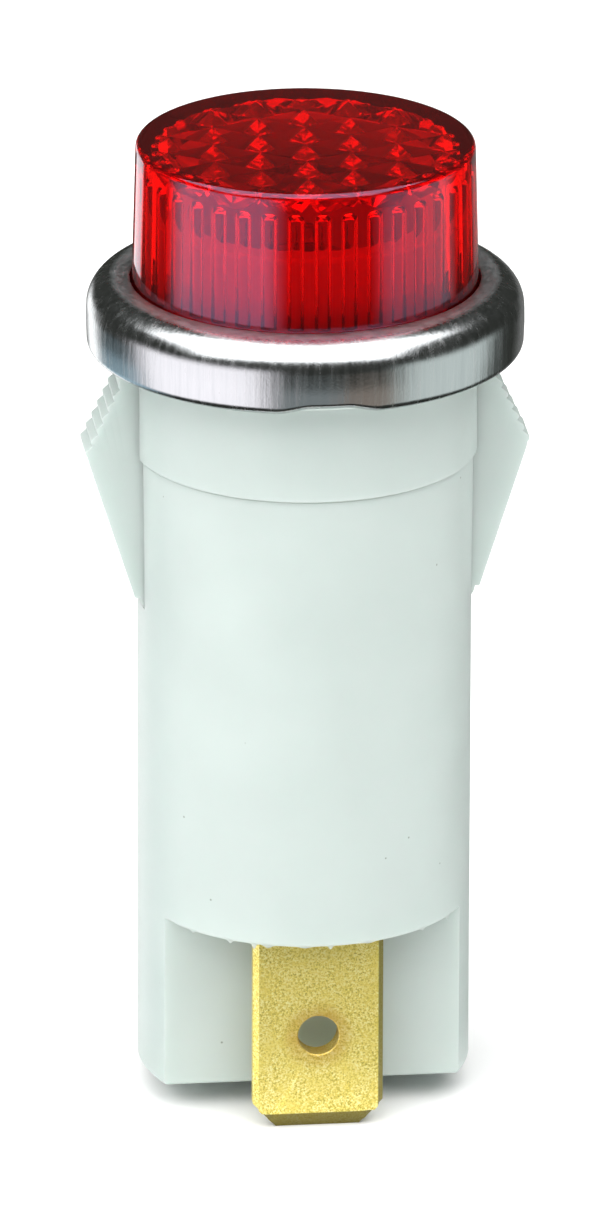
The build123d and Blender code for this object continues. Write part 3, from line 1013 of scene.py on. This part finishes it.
@dataclass
class Terminals:
    """The two brass blades, front and rear."""

    width: float = 4.75
    thickness: float = 0.8
    face: float = 4.9
    tip: float = -28.48
    top: float = -19.5
    hole_radius: float = 0.75
    hole_height: float = -24.88
    corner_width: float = 0.85
    corner_height: float = 0.95
    bevel_depth: float = 0.3
    bevel_height: float = 0.6
    edge: float = 0.2
    shoulder_width: float = 5.2
    shoulder_height: float = 0.9
    tail_width: float = 2.4
    tail_top: float = -14.6
    eyelet_radius: float = 0.45
    eyelet_height: float = -15.5
    tail_edge: float = 0.05
    bore_edge: float = 0.04
    bearings: int = 120
    finish: Finish = field(default_factory=RolledBrass)

    def pierced(
        self, name: str, centre: float, hole: float, sides: np.ndarray, insets: np.ndarray
    ) -> Piece:
        """A flat plate round a hole, as a ring of sections through its thickness.

        Side i of the outline is the line n.p = d. Along the direction e from the hole's centre
        c, the outline's edge is at the least (d - n.c) / (n.e) of the sides ahead, so each row
        is c + e times that, with d less the row's own inset.

        Args:
            name: The piece's name.
            centre: The hole's height.
            hole: The hole's radius.
            sides: Rows of (nx, nz, d), pointing outwards, in order of their bearing from -180
                degrees.
            insets: Rows of a depth from the front face, then an inset for each side.

        Returns:
            The plate, its front face at -face.
        """
        start = sides[:, 2] - sides[:, 1] * centre
        gap = start[None, None, :] - insets[:, None, 1:]
        # Corners: where each side meets the next, for every row, so that none is cut across.
        after = np.roll(sides[:, :2], -1, axis=0)
        pairs = np.stack([sides[:, :2], after], axis=1)
        values = np.stack([gap, np.roll(gap, -1, axis=2)], axis=-1)[:, 0]
        corner = np.linalg.solve(pairs[None], values[..., None])[..., 0].reshape(-1, 2)
        even = np.arange(self.bearings) * TURN / self.bearings - math.pi
        angle = np.concatenate([even, np.arctan2(corner[:, 1], corner[:, 0])])
        angle = np.unique(np.round(angle, 5))
        ahead = np.stack([np.cos(angle), np.sin(angle)], -1)
        facing = ahead @ sides[:, :2].T
        reach = np.where(facing > 1e-6, gap / np.maximum(facing, 1e-6), np.inf).min(axis=-1)
        edge = self.bore_edge
        bore = np.array([(hole, edge), (hole + edge, 0.0)])
        back = np.array([(hole + edge, self.thickness), (hole, self.thickness - edge)])
        radius = np.concatenate([np.tile(bore[:, :1], len(angle)), reach,
                                 np.tile(back[:, :1], len(angle))])
        depth = np.concatenate([bore[:, 1], insets[:, 0], back[:, 1]])[:, None]
        y = np.broadcast_to(depth - self.face, radius.shape)
        grid = np.stack([radius * ahead[:, 0], y, centre + radius * ahead[:, 1]], axis=-1)
        return solid_from_grid(name, grid, close_rows=True)

    def blade(self) -> Piece:
        """The part below the floor, with cut corners, a bevelled tip and broken edges."""
        half = self.width / 2
        slant = np.array([self.corner_height, self.corner_width])
        slant /= np.linalg.norm(slant)
        cut = slant @ np.array([half, -(self.tip + self.corner_height)])
        sides = np.array([(-slant[0], -slant[1], cut), (0, -1, -self.tip),
                          (slant[0], -slant[1], cut), (1, 0, half), (0, 1, self.top),
                          (-1, 0, half)])
        tall, edge = self.bevel_height, self.edge
        part = tall * (1 - edge / self.bevel_depth)
        rows = [(0.0, edge, tall), (edge, 0.0, part), (self.bevel_depth, 0.0, 0.0)]
        rows += [(self.thickness - y, e, b) for y, e, b in reversed(rows)]
        insets = np.array([(y, 0.0, b, 0.0, e, 0.0, e) for y, e, b in rows])
        return self.pierced("blade", self.hole_height, self.hole_radius, sides, insets)

    def tail(self) -> Piece:
        """The part above the floor: a strip with a round end about its eyelet."""
        half = self.tail_width / 2
        middle = self.tail_top - half
        angle = np.linspace(0, math.pi, 25)
        normal = np.stack([np.cos(angle), np.sin(angle)], -1)
        arc = np.concatenate([normal, (normal @ np.array([0.0, middle]) + half)[:, None]], -1)
        sides = np.concatenate([[(0, -1, -self.top)], arc])
        edge = self.tail_edge
        depth = np.array([0.0, edge, self.thickness - edge, self.thickness])
        inset = np.array([edge, 0.0, 0.0, edge])[:, None] * np.ones(len(sides))
        insets = np.concatenate([depth[:, None], inset], axis=-1)
        return self.pierced("tail", self.eyelet_height, self.eyelet_radius, sides, insets)

    def shoulders(self) -> Piece:
        """The bar that rests on the floor, its section carried along X."""
        low, high = self.top, self.top + self.shoulder_height
        front, rear = -self.face, self.thickness - self.face
        section = rounded_outline([(front, low), (rear, low), (rear, high), (front, high)],
                                  [self.tail_edge] * 4, 3)
        half = self.shoulder_width / 2
        x = np.array([-half, half])[:, None] * np.ones(len(section))
        loop = np.broadcast_to(section, (2, *section.shape))
        grid = np.stack([x, loop[..., 0], loop[..., 1]], axis=-1)
        return solid_from_grid("shoulders", grid, cap_ends=True)

    def make(self) -> None:
        """Builds the front terminal, and the rear one as the same turned by half a turn."""
        for side, node in ((1, "front_terminal_tab"), (-1, "rear_terminal_tab")):
            parts = [self.blade(), self.tail(), self.shoulders()]
            terminal = join_pieces(f"brass_{node}", parts)
            terminal.data.transform(Matrix.Diagonal((side, side, 1.0, 1.0)))
            self.finish.dress(terminal)
            settle(terminal, Body.SHELL, Slot.BRASS, node)


@dataclass
class Housing:
    """The moulded body, kept from the CAD, with the flash its mould left on the lower edge.

    Attributes:
        flash_bearings: Where the crumbs of flash hang, in degrees to the right of the front.
        flash_drops: How far each hangs down.
        flash_widths: How wide each is, in degrees.
    """

    barrel_bottom: float = -20.98
    flash_radius: float = 5.93
    flash_thickness: float = 0.06
    flash_skin: float = 0.012
    flash_reach: float = 58.0
    flash_rise: float = 0.06
    flash_columns: int = 700
    flash_bearings: tuple[float, ...] = (-49.0, -33.0, -24.0, -19.0, -6.0, 3.0, 17.0, 40.0, 55.0)
    flash_drops: tuple[float, ...] = (0.08, 0.11, 0.19, 0.1, 0.06, 0.13, 0.05, 0.08, 0.16)
    flash_widths: tuple[float, ...] = (1.2, 0.9, 0.8, 1.6, 2.2, 0.7, 2.0, 1.0, 0.9)
    # The body's nylon gets the painted-shade hairline under the collar step.
    finish: Finish = field(default_factory=lambda: MouldedNylon(
        "moulded_nylon_body", step_shade_strength=0.42))

    def flash(self) -> Piece:
        """The skin of plastic squeezed out where the mould's halves met, hanging in crumbs.

        At bearing a its depth is s + sum of d exp(-((a - b) / w)^2) over the crumbs, with s the
        skin's own depth, and its section is a thin wedge.
        """
        bearing = np.linspace(-self.flash_reach, self.flash_reach, self.flash_columns)
        crumbs = np.stack([self.flash_bearings, self.flash_drops, self.flash_widths])[..., None]
        drop = self.flash_skin + (
            crumbs[1] * np.exp(-(((bearing - crumbs[0]) / crumbs[2]) ** 2))).sum(axis=0)
        half = self.flash_thickness / 2
        out = self.flash_radius + np.array([-half, half, half * 0.5, -half * 0.5])
        top = np.full_like(drop, self.barrel_bottom + self.flash_rise)
        low = self.barrel_bottom - drop
        z = np.stack([top, top, low, low], axis=-1)
        angle = np.radians(bearing)[:, None]
        grid = np.stack([out * np.sin(angle), -out * np.cos(angle), z], axis=-1)
        return solid_from_grid("mould_flash_on_barrel", grid[:, ::-1], cap_ends=True)

    def make(self) -> None:
        """Dresses the body and hangs the flash on it."""
        flash = self.flash()
        self.finish.dress(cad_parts["housing"], flash)
        settle(flash, Body.SHELL, Slot.NYLON)


@dataclass
class LampAndWiring:
    """The bulb, resistor and leads inside the body, all kept from the CAD."""

    finishes: tuple[tuple[Finish, tuple[str, ...]], ...] = (
        (LampGlass(), ("lamp_envelope",)),
        (DullMetal("drawn_nickel", "#C9C4B8", "#8E8A80"),
         ("front_electrode", "rear_electrode")),
        (DullMetal("tinned_copper_wire", "#E0DED8", "#9A9A96"),
         ("front_lamp_lead", "rear_lamp_lead", "resistor_left_lead", "resistor_right_lead")),
        (WovenSleeve(), ("front_lead_sleeve", "left_riser_sleeve", "right_riser_sleeve",
                         "resistor_sleeve")),
        (ResistorLacquer(), ("resistor_body",)),
        (DullMetal("tinned_crimp_ferrule", "#D2D0CA", "#8B8A86", drift=0.4),
         ("lead_splice",)),
        (DullMetal("cooled_solder", "#C4C3BF", "#77767A", drift=0.35, smooth=0.3, rough=0.6,
                   depth=0.06), ("front_solder_joint", "rear_solder_joint")),
    )

    def make(self) -> None:
        """Gives each inner piece its finish."""
        for finish, nodes in self.finishes:
            finish.dress(*[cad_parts[node] for node in nodes])
            LOG.info("%s: %s", ", ".join(nodes), finish.name)


# ---------------------------------------------------------------- studio


@dataclass(frozen=True)
class SoftLight:
    """One soft-edged panel of light on the studio sky.

    Attributes:
        chart: What the angles mean.
        first: Its span of bearing, or of angle up over the front, in degrees.
        second: Its span of height, or of angle to the side, in degrees.
        power: Its brightness.
        blur: The width of its soft edge, in degrees.
        colour: Its sRGB colour.
    """

    chart: Chart
    first: tuple[float, float]
    second: tuple[float, float]
    power: float
    blur: float = 6.0
    colour: str = "#FFFFFF"


def direction(bearing: float, height: float) -> Vector:
    """The unit vector (sin b cos h, -cos b cos h, sin h) at a bearing and height in degrees."""
    bearing, height = math.radians(bearing), math.radians(height)
    return Vector((math.sin(bearing) * math.cos(height),
                   -math.cos(bearing) * math.cos(height), math.sin(height)))


def hang(name: str, data: bpy.types.ID, place: Vector, turn: Any) -> Piece:
    """Puts a light or a camera in the scene.

    Args:
        name: The object's name.
        data: The light or the camera.
        place: Where it stands, in millimetres.
        turn: Its rotation, as a quaternion.

    Returns:
        The new object.
    """
    held = bpy.data.objects.new(name, data)
    held.rotation_mode = "QUATERNION"
    held.rotation_quaternion = turn
    held.location = place * MM
    bpy.context.scene.collection.objects.link(held)
    return held


@dataclass
class Studio:
    """The floor, the lights and the camera."""

    bearing: float = -6.525
    height: float = 19.445
    roll: float = 0.153
    distance: float = 553.5
    aim: tuple[float, float, float] = (-0.16, 0.0, -10.04)
    focal_length: float = 456.8
    clip: tuple[float, float] = (0.02, 20.0)
    floor_height: float = -28.48
    near_floor: float = 9.0
    far_floor: float = 3000.0
    floor_sides: int = 96
    dome: float = 4000.0
    dome_rows: int = 13
    dome_columns: int = 64
    dome_gap: float = 1e-3
    dark: str = "#3C3E3A"
    key_bearing: float = -38.0
    key_height: float = 28.0
    key_distance: float = 600.0
    key_size: float = 320.0
    key_power: float = 0.55
    lights: tuple[SoftLight, ...] = (
        SoftLight(Chart.ARCH, (34, 112), (-54, 44), 3.1, 9.0),
        SoftLight(Chart.COMPASS, (-96, -20), (-40, -3), 2.0, 20.0, "#FFFAFF"),
        SoftLight(Chart.COMPASS, (-140, -100), (-46, -21), 1.1, 8.0, "#B4D4E4"),
        SoftLight(Chart.COMPASS, (-14, 22), (-46, -19), 0.4, 6.0, "#E4F0F4"),
        SoftLight(Chart.COMPASS, (22, 50), (-46, -19), 0.42, 6.0, "#F4DCCC"),
        SoftLight(Chart.COMPASS, (52, 112), (-40, -3), 1.05, 18.0, "#F4FFFC"),
        SoftLight(Chart.COMPASS, (-161, -141), (-40, -3), 2.0, 5.0),
        SoftLight(Chart.COMPASS, (150, 178), (-40, -3), 0.2, 5.0),
    )

    def window(self, bench: Bench, value: Socket, span: tuple[float, float],
               blur: float) -> Socket:
        """A socket that is 1 between two angles and falls smoothly to 0 outside them.

        Args:
            bench: The world's bench.
            value: The socket with the angle, in radians.
            span: The lower and the higher angle, in degrees.
            blur: The width of each soft edge, in degrees.

        Returns:
            The product of one rising and one falling step.
        """
        steps = [bench.remap(value, before, after, math.radians(edge - blur / 2),
                             math.radians(edge + blur / 2), smooth=True)
                 for edge, before, after in zip(span, (0.0, 1.0), (1.0, 0.0))]
        return bench.sum("MULTIPLY", *steps)

    def hang_sky(self) -> None:
        """Paints the soft lights on the world, by direction: a dark room with lit panels.

        With the camera's side turned to -Y, a direction (x, y, z) has bearing atan2(x, -y) and
        height asin(z), and on the arch the angle atan2(z, -y) and the side angle asin(x).
        """
        world = bpy.data.worlds.new("studio_sky")
        bpy.context.scene.world = world
        world.use_nodes = True
        tree = world.node_tree
        sight = add_node(tree, "ShaderNodeTexCoord").outputs["Generated"]
        bench = Bench(tree, tree.nodes["Background"], sight)
        bench.place = bench.mapped(Rotation=(0.0, 0.0, -math.radians(self.bearing)))
        x, y, z = bench.axes()
        front = bench.sum("MULTIPLY", y, -1.0)
        angles = {Chart.COMPASS: (bench.sum("ARCTAN2", x, front), bench.sum("ARCSINE", z)),
                  Chart.ARCH: (bench.sum("ARCTAN2", z, front), bench.sum("ARCSINE", x))}
        total = linear(self.dark)[:3]
        for light in self.lights:
            one, other = angles[light.chart]
            inside = bench.sum("MULTIPLY", self.window(bench, one, light.first, light.blur),
                               self.window(bench, other, light.second, light.blur))
            glow = np.array(linear(light.colour)[:3]) * light.power
            lit = bench.vector("SCALE", tuple(glow), Scale=inside).outputs[0]
            total = bench.vector("ADD", total, lit).outputs[0]
        bench.wire({"Color": total})

    def hang_key(self) -> None:
        """Hangs a large soft key light to the front left, which polished faces don't mirror."""
        back = direction(self.bearing + self.key_bearing, self.key_height)
        data = bpy.data.lights.new("key_light", "AREA")
        data.shape, data.size, data.energy = "DISK", self.key_size * MM, self.key_power
        key = hang("key_light", data, back * self.key_distance, back.to_track_quat("Z", "Y"))
        key.visible_glossy = False

    def disc(self, name: str, inner: float, outer: float) -> Piece:
        """A flat ring of floor between two radii, or a whole disc where the inner one is 0."""
        sides = self.floor_sides
        angle = np.arange(sides) * TURN / sides
        rims = [radius for radius in (inner, outer) if radius > 0]
        ring = np.stack([np.cos(angle), np.sin(angle), np.zeros(sides)], -1)
        points = np.concatenate([ring * radius for radius in rims])
        points[:, 2] = self.floor_height
        whole = len(rims) == 1
        faces = [list(range(sides))] if whole else grid_faces(2, sides, False)[:, ::-1].tolist()
        return add_piece(name, points, faces)

    def lay_floor(self) -> None:
        """Lays the paper: a near disc that polished faces mirror, and the rest, which they
        don't, so that they mirror the side panels there. A dome closes the camera's view."""
        near = self.disc("near_floor", 0.0, self.near_floor)
        far = self.disc("far_floor", self.near_floor, self.far_floor)
        far.visible_glossy = False
        MattPaper().dress(near, far)
        height = np.linspace(0, math.pi / 2, self.dome_rows)
        profile = np.stack([np.cos(height), np.sin(height)], -1) * self.dome
        profile[-1, 0] = self.dome_gap
        dome = solid_from_grid("studio_dome", turned_grid(profile, self.dome_columns))
        dome.data.transform(Matrix.Translation((0, 0, self.floor_height * MM)))
        WhiteGlow().dress(dome)
        for kind in ("diffuse", "glossy", "transmission", "volume_scatter", "shadow"):
            setattr(dome, f"visible_{kind}", False)

    def set_camera(self) -> None:
        """Stands the camera at its bearing and height, rolled a little about its line of sight."""
        stand = direction(self.bearing, self.height) * self.distance
        sight = (stand - Vector(self.aim)).to_track_quat("Z", "Y")
        roll = Matrix.Rotation(math.radians(self.roll), 3, "Z").to_quaternion()
        data = bpy.data.cameras.new("camera")
        data.lens, data.clip_start, data.clip_end = self.focal_length, *self.clip
        bpy.context.scene.camera = hang("camera", data, stand, sight @ roll)

    def make(self) -> None:
        """Sets up the whole studio."""
        self.hang_sky()
        self.hang_key()
        self.lay_floor()
        self.set_camera()
        bpy.context.scene.view_settings.view_transform = "Standard"
        LOG.info("studio: %d soft lights", len(self.lights))


def main() -> None:
    """Builds every part of the visual model, in order."""
    logging.basicConfig(level=logging.INFO, format="%(message)s")
    for assembly in (Housing(), Lens(), Bezel(), SnapWings(), Terminals(), LampAndWiring(),
                     Studio()):
        assembly.make()
        LOG.info("%s done", type(assembly).__name__)


if __name__ == "__main__":
    main()
